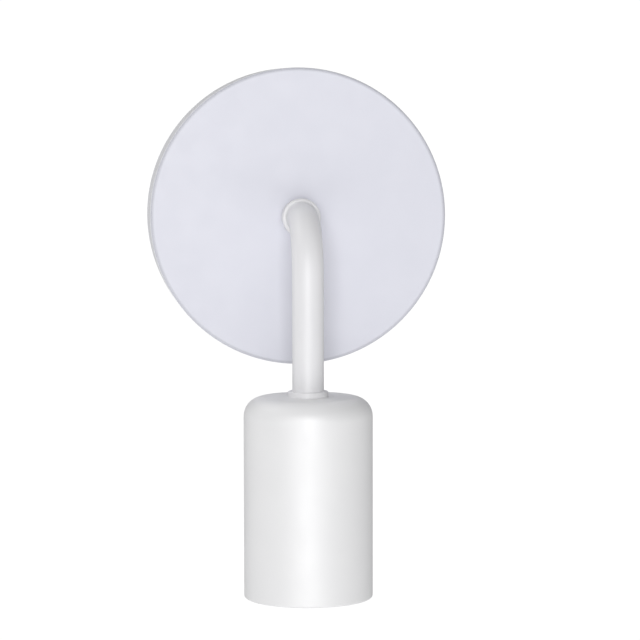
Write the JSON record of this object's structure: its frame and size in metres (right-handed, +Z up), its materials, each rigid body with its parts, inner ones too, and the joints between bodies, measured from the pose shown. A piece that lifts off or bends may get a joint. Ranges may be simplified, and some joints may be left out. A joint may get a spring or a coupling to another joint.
{
  "type": "wall light",
  "caption": "Wall light: round canopy with mounting strap, bent tube arm with collars, and a cylindrical cup that holds a screw lampholder facing down.",
  "frame": {"origin": "centre of the canopy on the wall plane, midway between the two wall slots", "axes": "+Y goes into the wall, so the light stands out along -Y; +Z is up; the cup hangs along -Z"},
  "size_m": [0.12, 0.0874, 0.2087],
  "materials": {
    "canopy_paint": "semi-gloss white powder coat on drawn steel",
    "arm_paint": "semi-gloss white powder coat on steel tube",
    "cup_paint": "semi-gloss white powder coat on drawn steel",
    "zinc_steel": "bright zinc plated steel",
    "screw_steel": "nickel plated steel screws",
    "spring_steel": "bright spring wire",
    "nickel": "nickel plated rolled sheet",
    "brass": "bare turned and pressed brass",
    "tinned_copper": "tinned copper crimp tag",
    "porcelain": "glazed white porcelain",
    "block_nylon": "natural moulded nylon",
    "bush_nylon": "white moulded nylon",
    "brown_insulation": "brown silicone insulation",
    "blue_insulation": "blue silicone insulation",
    "earth_insulation": "green and yellow silicone insulation"
  },
  "bodies": {
    "light": {"arm_tube": "arm_paint", "block_fixing_screw": "screw_steel", "bracket_screws": "screw_steel", "canopy_set_screws": "screw_steel", "canopy_shell": "canopy_paint", "ceramic_body": "porcelain", "contact_guide": "brass", "contact_rivet": "brass", "contact_spring": "spring_steel", "cup_shell": "cup_paint", "earth_lead": "earth_insulation", "holder_bracket": "zinc_steel", "holder_earth_screw": "brass", "holder_earth_tag": "tinned_copper", "holder_terminal_screws": "screw_steel", "live_lead": "brown_insulation", "live_terminal": "brass", "lower_bush": "bush_nylon", "lower_collar": "arm_paint", "lower_lock_nut": "zinc_steel", "lower_nipple": "zinc_steel", "lower_toothed_washer": "zinc_steel", "mounting_strap": "zinc_steel", "neutral_lead": "blue_insulation", "neutral_terminal": "brass", "screw_shell": "nickel", "shell_rivets": "brass", "strap_earth_screw": "brass", "strap_earth_tag": "tinned_copper", "strap_earth_washer": "zinc_steel", "terminal_block": "block_nylon", "terminal_inserts": "brass", "terminal_screws": "screw_steel", "upper_bush": "bush_nylon", "upper_collar": "arm_paint", "upper_flat_washer": "zinc_steel", "upper_lock_nut": "zinc_steel", "upper_nipple": "zinc_steel", "upper_toothed_washer": "zinc_steel"},
    "contact": {"centre_contact": "brass"}
  },
  "joints": [
    {"name": "contact_press", "type": "slide", "parent": "light", "child": "contact", "axis": [0, 0, 1], "range_m": [0, 0.0025], "stiffness_N_per_m": 2500, "springref_m": -0.001, "deforming": ["contact_spring"]}
  ]
}
